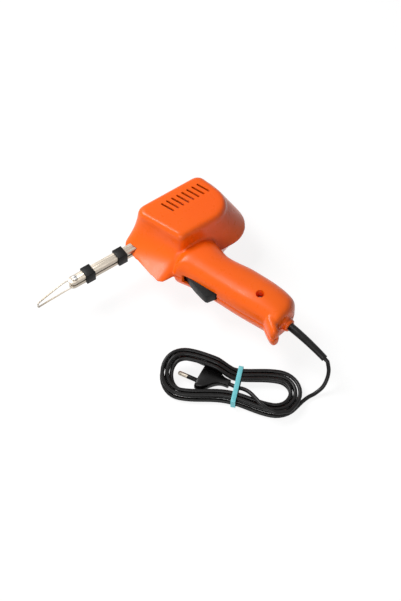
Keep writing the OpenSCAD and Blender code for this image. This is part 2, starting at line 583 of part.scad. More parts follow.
// Plug stations from the neck to the face: distance, half width, half thickness
plug_stations = [[0, 3.5, 3.2], [5, 3.5, 3.2], [8, 4.2, 3.5], [12, 6.9, 4.3], [16, 12, 5], [19, 14.8, 5.3], [22, 16.5, 5.5],
    [25.5, 17, 5.5], [26.6, 16.7, 5.2], [27, 16, 4.6]];
plug_power = 0.5;
pin_deep = 5;
pin_sleeve_len = 9.5;
pin_core_d = 3.2;
lead_route = [[71.52, -129.38, 24.6], [70.35, -132.3, 19.3], [67.24, -134.74, 12.8], [61.4, -136.61, 6.8],
    [53.4, -136.4, 3.3], [46.5, -135.7, 2.7]];
tail_route = [[46.5, -18.8, 9], [38, -22.6, 11.4], [27, -19.3, 12.6], [19.5, -13.4, 12.6], [12.5, -7.8, 12.3], [6, -3.8, 9.6],
    [0, -1.6, 6.4]];

function smooth(t) = let (x = max(0, min(1, t))) x * x * (3 - 2 * x);
function hank_ring(s) = let (q = (s * ring_count + first_ring) % ring_count,
    r = lobe_w - turn_step * (turn_count / 2 - abs(s - turn_count / 2)),
    c = hank_half - lobe_w,
    h = q <= 12 ? smooth((q - lift_from) / (lift_full - lift_from)) : smooth((q - lift_from) / (lift_full - lift_from))
        * (1 - smooth((q - lift_keep) / (lift_end - lift_keep))),
    z = hank_raise + lead_d / 2 + layer_step * smooth((s - turn_count / 2) * 2 + 0.5) + hank_lift * h,
    a = q < 6 ? 90 - 30 * q : -90 - 30 * (q - 12),
    t = q < 12 ? (q - 6) / 6 : (q - 18) / 6,
    n = r - waist_dip * (1 - cos(360 * t)) / 2)
    q < 6 ? [hank_mid + c + r * cos(a), r * sin(a), z]
    : q < 12 ? [hank_mid + c * (1 - 2 * t), -n, z]
    : q < 18 ? [hank_mid - c + r * cos(a), r * sin(a), z]
    : [hank_mid - c * (1 - 2 * t), n, z];
hank_core = [for (i = [0 : ring_count * turn_count]) hank_ring(i / ring_count)];
hank_first = unit([-sin(30), -cos(30), 0]);
hank_path = concat([hank_core[0] - end_straight * hank_first], hank_core,
    [hank_core[len(hank_core) - 1] + end_straight * hank_first]);
function from_hank(p) = [tie_at[0] + p[0] * cos(hank_yaw) - p[1] * sin(hank_yaw),
    tie_at[1] + p[0] * sin(hank_yaw) + p[1] * cos(hank_yaw), p[2]];
function turned(v) = [v[0] * cos(hank_yaw) - v[1] * sin(hank_yaw), v[0] * sin(hank_yaw) + v[1] * cos(hank_yaw), v[2]];
sleeve_end = on_sleeve(1) + [-rest_x, rest_y, head_t / 2];
sleeve_out = unit(on_sleeve(1) - on_sleeve(sleeve_shares[6]));
hank_start = from_hank(hank_path[0]);
lead_path = concat([sleeve_end, sleeve_end + end_straight * sleeve_out],
    spline(concat(lead_route, [hank_start - 2 * end_straight * turned(hank_first)]), 2), [hank_start]);
plug_axis = [cos(plug_tilt), -sin(plug_tilt), 0];
tail_first = hank_path[len(hank_path) - 1];
tail_path = concat([tail_first], spline(concat([tail_first + end_straight * hank_first], tail_route,
    [plug_neck_at + end_straight * plug_axis]), 3), [plug_neck_at]);
function gaps(p, apart) = min([for (i = [0 : len(p) - 1], j = [0 : len(p) - 1]) if (j - i >= apart) norm(p[i] - p[j])]) - lead_d;
echo(hank_gap = gaps(hank_core, 12));
echo(tail_gap = min([for (a = [for (i = [4 : len(tail_path) - 1]) tail_path[i]], b = hank_core) norm(a - b)]) - lead_d);
echo(cord_mm = len_of(hank_path) + len_of(lead_path) + len_of(tail_path));
function len_of(p) = len([for (i = [1 : len(p) - 1]) 1]) == 0 ? 0 : sum([for (i = [1 : len(p) - 1]) norm(p[i] - p[i - 1])]);
function sum(v, i = 0) = i == len(v) ? 0 : v[i] + sum(v, i + 1);

module at_hank() translate([tie_at[0], tie_at[1], 0]) rotate([0, 0, hank_yaw]) children();
module at_plug() at_hank() translate([plug_neck_at[0], plug_neck_at[1], 0]) rotate([0, 0, 180 - plug_tilt]) children();
module cord_lead() color("black") tube(lead_path, lead_d, 8);
module cord_hank() color("black") at_hank() tube(hank_path, lead_d, 6);
module cord_tail() color("black") at_hank() tube(tail_path, lead_d, 8);
tie_half = lobe_w - waist_dip + lead_d / 2 + 3 * tie_slack;
tie_top = hank_raise + lead_d + layer_step + 2 * tie_slack;
module rounded_bar(w, z0, z1, r) {
    translate([-w, z0 + r]) square([w * 2, z1 - z0 - 2 * r]);
    translate([-w + r, z0]) square([w * 2 - 2 * r, z1 - z0]);
    for (k = [-1, 1], z = [z0 + r, z1 - r]) translate([k * (w - r), z]) circle(r = r, $fn = fine);
}
module hank_tie() color("turquoise") at_hank() translate([-tie_w / 2, 0, 0]) rotate([90, 0, 90]) linear_extrude(tie_w)
    difference() {
        rounded_bar(tie_half + tie_t, hank_raise - tie_slack - tie_t, tie_top + tie_t, tie_w / 2);
        rounded_bar(tie_half, hank_raise - tie_slack, tie_top, tie_w / 2 - tie_t);
    }
plug_len = plug_stations[len(plug_stations) - 1][0];
plug_z = plug_neck_at[2];
function round_off(c, power) = c < 0 ? -pow(-c, power) : pow(c, power);
plug_rings = [for (s = plug_stations) [for (i = [0 : 19]) let (a = 18 * i + 9)
    [s[0], s[1] * round_off(cos(a), plug_power), plug_z + s[2] * round_off(sin(a), plug_power)]]];
module plug_body() color("black") at_plug() difference() {
    skin(plug_rings);
    for (k = [-1, 1]) rod_x([k * pin_pitch / 2, plug_z], [plug_len - pin_deep, plug_len + overrun], pin_d + air);
}
module plug_pins() color("silver") at_plug() for (k = [-1, 1]) difference() {
    union() {
        rod_x([k * pin_pitch / 2, plug_z], [plug_len - pin_deep + air, plug_len], pin_d);
        rod_x([k * pin_pitch / 2, plug_z], [plug_len, plug_len + pin_sleeve_len + air], pin_core_d);
        rod_x([k * pin_pitch / 2, plug_z], [plug_len + pin_sleeve_len + air, plug_len + pin_len - pin_d / 2], pin_d);
        translate([plug_len + pin_len - pin_d / 2, k * pin_pitch / 2, plug_z]) sphere(d = pin_d, $fn = fine);
    }
}
module pin_sleeves() color("black") at_plug() for (k = [-1, 1]) difference() {
    rod_x([k * pin_pitch / 2, plug_z], [plug_len + air, plug_len + pin_sleeve_len], pin_d);
    rod_x([k * pin_pitch / 2, plug_z], [plug_len - overrun, plug_len + pin_sleeve_len + overrun], pin_core_d + air);
}

upper_shell();
lower_shell();
handle_screw();
head_screws();
upper_bar();
lower_bar();
front_clamp();
rear_clamp();
tip_loop();
tip_screws();
copper_turn();
turn_screws();
core_e_stack();
core_i_stack();
core_band();
coil_bobbin();
primary_coil();
trigger();
trigger_pin();
trigger_spring();
switch_body();
switch_plunger();
switch_tabs();
terminal_block();
coil_leads();
switch_leads();
inner_cord();
cord_grip();
grip_screws();
cord_sleeve();
cord_lead();
cord_hank();
cord_tail();
hank_tie();
plug_body();
plug_pins();
pin_sleeves();
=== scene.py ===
import bmesh
import bpy
import json
import math
from mathutils import Matrix, Vector


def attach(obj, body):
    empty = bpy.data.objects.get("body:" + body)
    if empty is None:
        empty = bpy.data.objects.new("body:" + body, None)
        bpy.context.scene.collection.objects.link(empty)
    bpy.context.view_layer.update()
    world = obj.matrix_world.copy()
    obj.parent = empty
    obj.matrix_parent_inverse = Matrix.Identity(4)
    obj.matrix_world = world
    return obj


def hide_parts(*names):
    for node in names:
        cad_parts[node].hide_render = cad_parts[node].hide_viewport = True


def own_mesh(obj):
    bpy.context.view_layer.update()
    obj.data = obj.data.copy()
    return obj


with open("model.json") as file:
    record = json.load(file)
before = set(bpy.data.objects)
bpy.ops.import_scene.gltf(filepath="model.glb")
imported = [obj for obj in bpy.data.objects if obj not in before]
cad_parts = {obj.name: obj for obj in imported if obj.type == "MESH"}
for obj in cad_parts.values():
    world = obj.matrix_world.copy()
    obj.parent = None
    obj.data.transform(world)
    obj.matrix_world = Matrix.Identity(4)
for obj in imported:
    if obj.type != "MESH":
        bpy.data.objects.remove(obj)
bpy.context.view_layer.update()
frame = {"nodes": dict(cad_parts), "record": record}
MM = 0.001
bpy.ops.object.select_all(action="DESELECT")

# The gun's own zero point (bars' axis at the head's front) in the part's frame, in mm
GUN_ZERO = Vector((-0.685, 68.415, 34.0))


# ---- camera: its turn round the part and its height over the table, as the photograph was taken
CAMERA_TURN, CAMERA_FALL = math.radians(35.4), math.radians(54.5)
CAMERA_EYE = Vector((-475.96, -777.15, 1193.9))
SENSOR_W, FOCAL_PIXELS, PHOTO_W = 36, 1650, 401


def add_camera():
    turn, fall = CAMERA_TURN, CAMERA_FALL
    right = Vector((math.cos(turn), -math.sin(turn), 0))
    away = Vector((math.sin(turn), math.cos(turn), 0))
    look = away * math.cos(fall) - Vector((0, 0, 1)) * math.sin(fall)
    up = away * math.sin(fall) + Vector((0, 0, 1)) * math.cos(fall)
    data = bpy.data.cameras.new("photo_camera")
    data.sensor_fit = "HORIZONTAL"
    data.sensor_width = SENSOR_W
    data.lens = SENSOR_W * FOCAL_PIXELS / PHOTO_W
    camera = bpy.data.objects.new("photo_camera", data)
    bpy.context.scene.collection.objects.link(camera)
    eye = GUN_ZERO + CAMERA_EYE
    camera.matrix_world = Matrix((
        (right.x, up.x, -look.x, eye.x * MM),
        (right.y, up.y, -look.y, eye.y * MM),
        (right.z, up.z, -look.z, eye.z * MM),
        (0, 0, 0, 1)))
    bpy.context.scene.camera = camera


add_camera()


# ---- the lead's route, in the part's frame, in mm
LEAD_D = 3.6
TIE_AT = Vector((0.815, -92.285, 0))
HANK_YAW = math.radians(-47.3)
HANK_MID, HANK_HALF, LOBE_W, WAIST_DIP = -6.5, 62.5, 21.8, 5.6
TURNS, TURN_STEP, LAYER_STEP, HANK_RAISE, HANK_LIFT = 5, 4.2, 5.4, 0.9, 11.2
LIFT_FROM, LIFT_FULL, LIFT_KEEP, LIFT_END = 12.6, 16.8, 19.8, 21.3
END_STRAIGHT = 3.6
PLUG_NECK = Vector((-7, 1.15, 5.5))
PLUG_TILT = math.radians(15)
EXIT_AT, EXIT_YAW, COLLAR_OUT = Vector((64.3, -144.5, 0)), math.radians(9), 7.5
EXIT_HEADING = Vector((math.sin(EXIT_YAW), -math.cos(EXIT_YAW), 0))
SLEEVE_R, SLEEVE_LEN = 150, 42
LEAD_ROUTE = [(71.52, -129.38, 24.6), (70.35, -132.3, 19.3), (67.24, -134.74, 12.8),
              (61.4, -136.61, 6.8), (53.4, -136.4, 3.3), (46.5, -135.7, 2.7)]
TAIL_ROUTE = [(46.5, -18.8, 9), (38, -22.6, 11.4), (27, -19.3, 12.6), (19.5, -13.4, 12.6),
              (12.5, -7.8, 12.3), (6, -3.8, 9.6), (0, -1.6, 6.4)]
ROUTE_STEPS, HANK_STEPS = 8, 72


def ease(t):
    t = max(0.0, min(1.0, t))
    return t * t * (3 - 2 * t)


def hank_point(s):
    # s counts the turns. A turn is 24 parts long: 6 round each end and 6 along each side
    q = (s * 24 + 4) % 24
    r = LOBE_W - TURN_STEP * (TURNS / 2 - abs(s - TURNS / 2))
    c = HANK_HALF - LOBE_W
    h = ease((q - LIFT_FROM) / (LIFT_FULL - LIFT_FROM))
    if q > 12:
        h *= 1 - ease((q - LIFT_KEEP) / (LIFT_END - LIFT_KEEP))
    z = HANK_RAISE + LEAD_D / 2 + LAYER_STEP * ease((s - TURNS / 2) * 2 + 0.5) + HANK_LIFT * h
    a = math.radians(90 - 30 * q if q < 6 else -90 - 30 * (q - 12))
    t = (q - 6) / 6 if q < 12 else (q - 18) / 6
    n = r - WAIST_DIP * (1 - math.cos(2 * math.pi * t)) / 2
    if q < 6:
        return Vector((HANK_MID + c + r * math.cos(a), r * math.sin(a), z))
    if q < 12:
        return Vector((HANK_MID + c * (1 - 2 * t), -n, z))
    if q < 18:
        return Vector((HANK_MID - c + r * math.cos(a), r * math.sin(a), z))
    return Vector((HANK_MID - c * (1 - 2 * t), n, z))


def catmull_rom(a, b, c, d, t):
    return b + (c - a) * t / 2 + (2 * a - 5 * b + 4 * c - d) * t * t / 2 \
        + (3 * b - a - 3 * c + d) * t ** 3 / 2


def spline(points):
    p = [Vector(v) for v in points]
    out = []
    for i in range(len(p) - 1):
        a = 2 * p[0] - p[1] if i == 0 else p[i - 1]
        d = 2 * p[-1] - p[-2] if i == len(p) - 2 else p[i + 2]
        out += [catmull_rom(a, p[i], p[i + 1], d, j / ROUTE_STEPS) for j in range(ROUTE_STEPS)]
    return out + [p[-1]]


def from_hank(p):
    return TIE_AT + Matrix.Rotation(HANK_YAW, 3, "Z") @ p


def on_sleeve(f):
    bend = f * SLEEVE_LEN / SLEEVE_R
    along = COLLAR_OUT + SLEEVE_R * math.sin(bend)
    return GUN_ZERO + EXIT_AT + EXIT_HEADING * along \
        - Vector((0, 0, SLEEVE_R * (1 - math.cos(bend))))


hank_heading = Vector((-math.sin(math.radians(30)), -math.cos(math.radians(30)), 0))
hank = [hank_point(i / HANK_STEPS) for i in range(HANK_STEPS * TURNS + 1)]
hank = [hank[0] - END_STRAIGHT * hank_heading] + hank + [hank[-1] + END_STRAIGHT * hank_heading]
sleeve_end = on_sleeve(1)
sleeve_out = (sleeve_end - on_sleeve(0.98)).normalized()
hank_start = from_hank(hank[0])
heading_in_part = Matrix.Rotation(HANK_YAW, 3, "Z") @ hank_heading
lead = [sleeve_end] + spline([sleeve_end + END_STRAIGHT * sleeve_out] + LEAD_ROUTE
                             + [hank_start - 2 * END_STRAIGHT * heading_in_part])
plug_axis = Vector((math.cos(PLUG_TILT), -math.sin(PLUG_TILT), 0))
tail = spline([hank[-1] + END_STRAIGHT * hank_heading] + TAIL_ROUTE
              + [PLUG_NECK + END_STRAIGHT * plug_axis]) + [PLUG_NECK]
cord_points = lead + [from_hank(p) for p in hank + tail]


def smooth_path(points, rounds):
    # Corner cutting that keeps both ends, so that the tip wire bends round
    for _ in range(rounds):
        cut = [points[0]]
        for a, b in zip(points, points[1:]):
            cut += [a.lerp(b, 0.25), a.lerp(b, 0.75)]
        points = cut + [points[-1]]
    return points


# ---- casing: the same outlines as the solids, with many more steps and round shoulders
HEAD_LEN, HEAD_H, HEAD_T, HEAD_FRONT, HEAD_RISE, WALL = 110, 70, 68, 4, 17.5, 2.4
HANDLE_LEN, HANDLE_W, HANDLE_T = 147, 49, 37
CREASE = 0.79
# Corners of the head's outline as shares of its length and height, with a rounding radius each
PARTING_CORNERS = [(-0.009, 0.92, 0.15), (0.008, 0.07, 0.1), (1, 0.05, 0.37), (0.985, 1.03, 0.17)]
CREASE_CORNERS = [(0.132, 0.97, 0.12), (0.297, 0.212, 0.09), (0.9, 0.227, 0.33),
                  (0.812, 0.975, 0.12)]
FLARES = [1.3, 3.2, 1.1, 0.78]
CORNER_STEPS, SIDE_STEPS, EDGE_STEPS, STRAIGHT_STEPS = 10, 18, 10, 8
EDGE_INSET, EDGE_POWER = 0.16, 1.1
# Sections of the handle as shares of its sizes: how far down, front, back, half thickness, lean
HANDLE_STATIONS = [
    (0.15, 0.72, 1.2, 0.6, 0.3), (0.215, 0.5, 1.27, 0.84, 0.28), (0.275, 0.34, 1.3, 0.97, 0.18),
    (0.32, 0.29, 1.29, 1.03, 0), (0.39, 0.4, 1.275, 1.02, 0), (0.45, 0.475, 1.29, 1, 0.02),
    (0.52, 0.545, 1.37, 0.98, 0.04), (0.6, 0.627, 1.475, 0.98, 0.06),
    (0.69, 0.708, 1.56, 0.98, 0.08), (0.78, 0.8, 1.63, 1, 0.1), (0.87, 0.9, 1.675, 0.98, 0.14),
    (0.94, 0.97, 1.675, 0.93, 0.18), (0.98, 0.985, 1.6, 0.84, 0.2), (1, 1.04, 1.51, 0.66, 0.2)]
LIP_STATIONS = [(0.945, 0.94, 1.19, 0.76, 0), (1, 0.89, 1.12, 0.7, 0),
                (1.04, 0.875, 1.06, 0.62, 0), (1.058, 0.91, 1.03, 0.48, 0)]
STATION_STEPS, GRIP_FACETS, GRIP_POWER = 5, 40, 0.78
SLOT_COUNT, SLOT_W, SLOT_LEN, SLOT_STEP, SLOT_LEAN = 8, 1.9, 14.4, 5.6, math.radians(18.8)
SLOT_AT, SLOT_Z = (36.6, -1.4), (20, 60)
HANDLE_SCREW, HEAD_SCREWS = (56.7, -117.9), [(93, -13), (22, -44)]
BAR_REACH, BAR_Y, BAR_Z = 68, -0.5, 2.5
# Openings as their ends in x, y and z
BAR_HOLE = ((-60, 10.5), (BAR_Y - 4.55, BAR_Y + 4.55), (-5, 4.45))
TRIGGER_HOLE = ((8, 34), (-89, -53.4), (-5, 5.2))
COLLAR, COLLAR_D, LEAD_HOLE, LEAD_HOLE_D = (-4, COLLAR_OUT), 12.4, (-10, 20), 7.7
# Screw posts in the casing: ends in z, and diameters
SEAT, SEAT_D, POST, POST_D = (1, 8.1), 11, (1, 40), 11.1
RECESS, RECESS_D, SCREW_HOLE, SCREW_HOLE_D = (8, 60), 7.8, (-5, 9), 3.1
SKIN_VOXEL, SKIN_ROUNDS, CASING_CREASE = 0.0009, 16, math.radians(35)


def head_ring(t, inset, z):
    corners = []
    for c, p, power in zip(CREASE_CORNERS, PARTING_CORNERS, FLARES):
        f = t ** power
        share = [c[i] + (p[i] - c[i]) * f for i in range(3)]
        place = Vector((HEAD_LEN * share[0] - HEAD_FRONT, HEAD_RISE - HEAD_H * (1 - share[1])))
        corners.append((place, HEAD_H * share[2]))
    ring = []
    for i in range(4):
        p, (q, radius), r = corners[i - 1][0], corners[i], corners[(i + 1) % 4][0]
        u, v = (p - q).normalized(), (r - q).normalized()
        half = math.acos(max(-1, min(1, u.dot(v)))) / 2
        centre = q + (u + v).normalized() * radius / math.sin(half)
        start = q + u * radius / math.tan(half) - centre
        end = q + v * radius / math.tan(half) - centre
        a0 = math.atan2(start.y, start.x)
        turn = math.atan2(end.y, end.x) - a0
        turn -= 2 * math.pi * round(turn / (2 * math.pi))
        for k in range(CORNER_STEPS + 1):
            a = a0 + turn * k / CORNER_STEPS
            ring.append(centre + radius * Vector((math.cos(a), math.sin(a))))
    # The straight stretch after each corner is cut into short steps too
    even = []
    for a, b in zip(ring, ring[1:] + ring[:1]):
        even.append(a)
        count = STRAIGHT_STEPS if ring.index(a) % (CORNER_STEPS + 1) == CORNER_STEPS else 1
        even += [a.lerp(b, j / count) for j in range(1, count)]
    lo = Vector((min(p.x for p in even), min(p.y for p in even)))
    hi = Vector((max(p.x for p in even), max(p.y for p in even)))
    mid, span = (lo + hi) / 2, hi - lo
    return [Vector((mid.x + (p.x - mid.x) * (1 - 2 * inset / span.x),
                    mid.y + (p.y - mid.y) * (1 - 2 * inset / span.y), z)) for p in even]


def head_rings(less):
    # Sloping sides up to the crease, then the rounded shoulder and the flat top
    half = HEAD_T / 2
    rings = []
    for i in range(SIDE_STEPS):
        s = CREASE * (i / SIDE_STEPS)
        rings.append(head_ring(1 - s / CREASE, less, s * half))
    for i in range(EDGE_STEPS + 1):
        a = math.pi / 2 * i / EDGE_STEPS
        rise = CREASE + (1 - CREASE) * math.sin(a)
        inset = less + EDGE_INSET * half * (1 - math.cos(a)) ** EDGE_POWER
        rings.append(head_ring(0, inset, rise * (half - (less if i else less * CREASE))))
    return rings


def between(stations):
    # A curve through the stations, value by value
    out = []
    for i in range(len(stations) - 1):
        a, b = stations[max(i - 1, 0)], stations[i]
        c, d = stations[i + 1], stations[min(i + 2, len(stations) - 1)]
        out += [[catmull_rom(*values, j / STATION_STEPS) for values in zip(a, b, c, d)]
                for j in range(STATION_STEPS)]
    return out + [list(stations[-1])]


def grip_rings(stations, less, low):
    rings = []
    for down, front, back, thick, lean in between(stations):
        x0, x1 = HANDLE_W * front + less, HANDLE_W * back - less
        h = HANDLE_T / 2 * thick - less
        y = -HANDLE_LEN * down + (less if down == stations[-1][0] else 0)
        cx, w = (x0 + x1) / 2, (x1 - x0) / 2
        ring = []
        for i in range(GRIP_FACETS + 1):
            a = math.pi * i / GRIP_FACETS
            c, d = math.cos(a), math.sin(a)
            x = cx + w * math.copysign(abs(c) ** GRIP_POWER, c)
            ring.append(Vector((x, y + lean * (x - cx), max(low, h * abs(d) ** GRIP_POWER))))
        ring[0].z = ring[-1].z = low
        rings.append(ring)
    return rings


def loft(name, rings):
    mesh = bpy.data.meshes.new(name)
    count = len(rings[0])
    points = [(GUN_ZERO + p) * MM for ring in rings for p in ring]
    faces = [list(range(count))[::-1], [(len(rings) - 1) * count + i for i in range(count)]]
    for j in range(len(rings) - 1):
        for i in range(count):
            a, b = j * count + i, j * count + (i + 1) % count
            faces.append((a, b, b + count, a + count))
    mesh.from_pydata(points, [], faces)
    piece = bpy.data.objects.new(name, mesh)
    bpy.context.scene.collection.objects.link(piece)
    work = bmesh.new()
    work.from_mesh(mesh)
    bmesh.ops.recalc_face_normals(work, faces=work.faces)
    work.to_mesh(mesh)
    work.free()
    return piece


def only(piece):
    bpy.ops.object.select_all(action="DESELECT")
    piece.select_set(True)
    bpy.context.view_layer.objects.active = piece


def apply_modifier(piece, kind, **settings):
    only(piece)
    modifier = piece.modifiers.new(kind.lower(), kind)
    for key, value in settings.items():
        setattr(modifier, key, value)
    bpy.ops.object.modifier_apply(modifier=modifier.name)


def combine(piece, other, operation):
    apply_modifier(piece, "BOOLEAN", object=other, operation=operation, solver="MANIFOLD")
    bpy.data.objects.remove(other)


def bake(piece):
    # The piece's object ends at the origin, with its place in its mesh
    only(piece)
    bpy.ops.object.transform_apply(location=True, rotation=True, scale=True)
    return piece


def rod(at, z, d, faces=48):
    middle = GUN_ZERO + Vector((at[0], at[1], sum(z) / 2))
    bpy.ops.mesh.primitive_cylinder_add(vertices=faces, radius=d / 2 * MM, depth=(z[1] - z[0]) * MM,
                                        location=middle * MM)
    return bake(bpy.context.active_object)


def block(x, y, z):
    middle = GUN_ZERO + Vector((sum(x) / 2, sum(y) / 2, sum(z) / 2))
    bpy.ops.mesh.primitive_cube_add(size=1, location=middle * MM)
    piece = bpy.context.active_object
    piece.scale = ((x[1] - x[0]) * MM, (y[1] - y[0]) * MM, (z[1] - z[0]) * MM)
    return bake(piece)


def exit_rod(ends, d):
    # A rod on the lead's line out of the handle
    bpy.ops.mesh.primitive_cylinder_add(vertices=64, radius=d / 2 * MM,
                                        depth=(ends[1] - ends[0]) * MM)
    piece = bpy.context.active_object
    middle = (GUN_ZERO + EXIT_AT + EXIT_HEADING * sum(ends) / 2) * MM
    heading = EXIT_HEADING.to_track_quat("Z", "Y").to_matrix().to_4x4()
    piece.matrix_world = Matrix.Translation(middle) @ heading
    return bake(piece)


def slot_cutter(index):
    x = SLOT_AT[0] + SLOT_STEP * index + SLOT_LEN / 2 * math.sin(SLOT_LEAN)
    end = (SLOT_LEN - SLOT_W) / 2
    cutter = block((-SLOT_W / 2, SLOT_W / 2), (-end, end), SLOT_Z)
    for k in (-1, 1):
        combine(cutter, rod((0, k * end), (SLOT_Z[0] - 0.1, SLOT_Z[1] + 0.1), SLOT_W, 24), "UNION")
    pivot, place = GUN_ZERO * MM, Vector((x, SLOT_AT[1], 0)) * MM
    cutter.matrix_world = Matrix.Translation(place) @ Matrix.Translation(pivot) \
        @ Matrix.Rotation(SLOT_LEAN, 4, "Z") @ Matrix.Translation(-pivot)
    return bake(cutter)


def casing_skin():
    skin = loft("casing_skin", head_rings(0))
    combine(skin, loft("grip", grip_rings(HANDLE_STATIONS, 0, 0)), "UNION")
    combine(skin, loft("lip", grip_rings(LIP_STATIONS, 0, 0)), "UNION")
    collar = exit_rod(COLLAR, COLLAR_D)
    combine(collar, block((0, 120), (-200, 0), (-40, 0)), "DIFFERENCE")
    combine(skin, collar, "UNION")
    apply_modifier(skin, "REMESH", mode="VOXEL", voxel_size=SKIN_VOXEL)
    apply_modifier(skin, "SMOOTH", factor=0.5, iterations=SKIN_ROUNDS)
    return skin


def deepened(rings):
    # The first ring is repeated 1 mm below the parting plane, so that a cut passes it
    return [[Vector((p.x, p.y, -1)) for p in rings[0]]] + rings


def casing_half(name, node, skin, upper):
    half = skin.copy()
    half.data = skin.data.copy()
    half.name = half.data.name = name
    bpy.context.scene.collection.objects.link(half)
    for rings in (deepened(head_rings(WALL)), grip_rings(HANDLE_STATIONS, WALL, -1),
                  grip_rings(LIP_STATIONS, WALL, -1)):
        combine(half, loft("hollow", rings), "DIFFERENCE")
    for i in range(SLOT_COUNT):
        combine(half, slot_cutter(i), "DIFFERENCE")
    for opening in (block(*BAR_HOLE), block(*TRIGGER_HOLE), exit_rod(LEAD_HOLE, LEAD_HOLE_D)):
        combine(half, opening, "DIFFERENCE")
    for at in ([HANDLE_SCREW] if upper else HEAD_SCREWS):
        combine(half, rod(at, SEAT, SEAT_D), "UNION")
        post = rod(at, POST, POST_D)
        if at == HEAD_SCREWS[0]:
            outside = deepened(head_rings(WALL / 2))
        else:
            outside = grip_rings(HANDLE_STATIONS, WALL / 2, -1)
        combine(post, loft("outside", outside), "INTERSECT")
        combine(half, post, "UNION")
        combine(half, rod(at, RECESS, RECESS_D), "DIFFERENCE")
        combine(half, rod(at, SCREW_HOLE, SCREW_HOLE_D), "DIFFERENCE")
    if not upper:
        bm = bmesh.new()
        bm.from_mesh(half.data)
        for v in bm.verts:
            v.co.z = 2 * GUN_ZERO.z * MM - v.co.z
        bmesh.ops.reverse_faces(bm, faces=bm.faces)
        bm.to_mesh(half.data)
        bm.free()
    only(half)
    bpy.ops.object.shade_smooth_by_angle(angle=CASING_CREASE)
    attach(half, "gun")
    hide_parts(node)
    return half


# ---- finishes
COAT_ROUGHNESS, RELIEF_DEPTH, MOULD_GRAIN, WEAR = 0.08, 0.0002, 1800, 300
# The tip wire's tarnish runs between these x of the part, in metres
HEAT_FROM, HEAT_TO = -0.107, -0.068


def finish_of(name, color, metallic=0.0, roughness=0.4, coat=0.0, gloss=0.5):
    material = bpy.data.materials.new(name)
    material.use_nodes = True
    nodes, links = material.node_tree.nodes, material.node_tree.links
    shader = nodes["Principled BSDF"]
    shader.inputs["Base Color"].default_value = (*color, 1)
    shader.inputs["Metallic"].default_value = metallic
    shader.inputs["Roughness"].default_value = roughness
    shader.inputs["Coat Weight"].default_value = coat
    shader.inputs["Specular IOR Level"].default_value = gloss
    shader.inputs["Coat Roughness"].default_value = COAT_ROUGHNESS
    place = nodes.new("ShaderNodeTexCoord")
    return material, nodes, links, shader, place.outputs["Object"]


def grain(nodes, links, place, scale, detail=3, stretch=None):
    if stretch:
        mapping = nodes.new("ShaderNodeMapping")
        mapping.inputs["Scale"].default_value = stretch
        links.new(place, mapping.inputs["Vector"])
        place = mapping.outputs["Vector"]
    noise = nodes.new("ShaderNodeTexNoise")
    noise.inputs["Scale"].default_value = scale
    noise.inputs["Detail"].default_value = detail
    links.new(place, noise.inputs["Vector"])
    return noise.outputs["Fac"]


def spread(nodes, links, value, low, high):
    span = nodes.new("ShaderNodeMapRange")
    span.inputs["From Min"].default_value = 0.3
    span.inputs["From Max"].default_value = 0.7
    span.inputs["To Min"].default_value = low
    span.inputs["To Max"].default_value = high
    links.new(value, span.inputs["Value"])
    return span.outputs["Result"]


def tint(nodes, links, value, colors):
    ramp = nodes.new("ShaderNodeValToRGB")
    for stop, (at, color) in zip(ramp.color_ramp.elements, (colors[0], colors[-1])):
        stop.position, stop.color = at, (*color, 1)
    for at, color in colors[1:-1]:
        ramp.color_ramp.elements.new(at).color = (*color, 1)
    links.new(value, ramp.inputs["Fac"])
    return ramp.outputs["Color"]


def relief(nodes, links, shader, value, strength, depth=RELIEF_DEPTH):
    bump = nodes.new("ShaderNodeBump")
    bump.inputs["Strength"].default_value = strength
    bump.inputs["Distance"].default_value = depth
    links.new(value, bump.inputs["Height"])
    links.new(bump.outputs["Normal"], shader.inputs["Normal"])


def orange_plastic():
    material, nodes, links, shader, place = finish_of(
        "orange_plastic", (1.0, 0.125, 0.003), 0, 0.3, 0.05, 0.3)
    cloud = tint(nodes, links, grain(nodes, links, place, 14, 2),
                 [(0.3, (1.0, 0.12, 0.002)), (0.7, (1.0, 0.14, 0.003))])
    links.new(cloud, shader.inputs["Base Color"])
    sheen = spread(nodes, links, grain(nodes, links, place, 160, 4), 0.25, 0.36)
    links.new(sheen, shader.inputs["Roughness"])
    relief(nodes, links, shader, grain(nodes, links, place, 1100, 2), 0.12)
    return material


def black_plastic():
    material, nodes, links, shader, place = finish_of(
        "black_plastic", (0.003, 0.003, 0.003), 0, 0.4, 0, 0.16)
    sheen = spread(nodes, links, grain(nodes, links, place, 240, 4), 0.3, 0.48)
    links.new(sheen, shader.inputs["Roughness"])
    relief(nodes, links, shader, grain(nodes, links, place, 2200, 2), 0.2)
    return material


def nickel_plate():
    material, nodes, links, shader, place = finish_of("nickel_plate", (0.78, 0.74, 0.68), 1, 0.3)
    drawn = grain(nodes, links, place, 40, 4, (1, 40, 40))
    streaks = tint(nodes, links, drawn, [(0.25, (0.36, 0.31, 0.25)), (0.75, (0.6, 0.54, 0.46))])
    links.new(streaks, shader.inputs["Base Color"])
    links.new(spread(nodes, links, drawn, 0.2, 0.42), shader.inputs["Roughness"])
    relief(nodes, links, shader, drawn, 0.15)
    return material


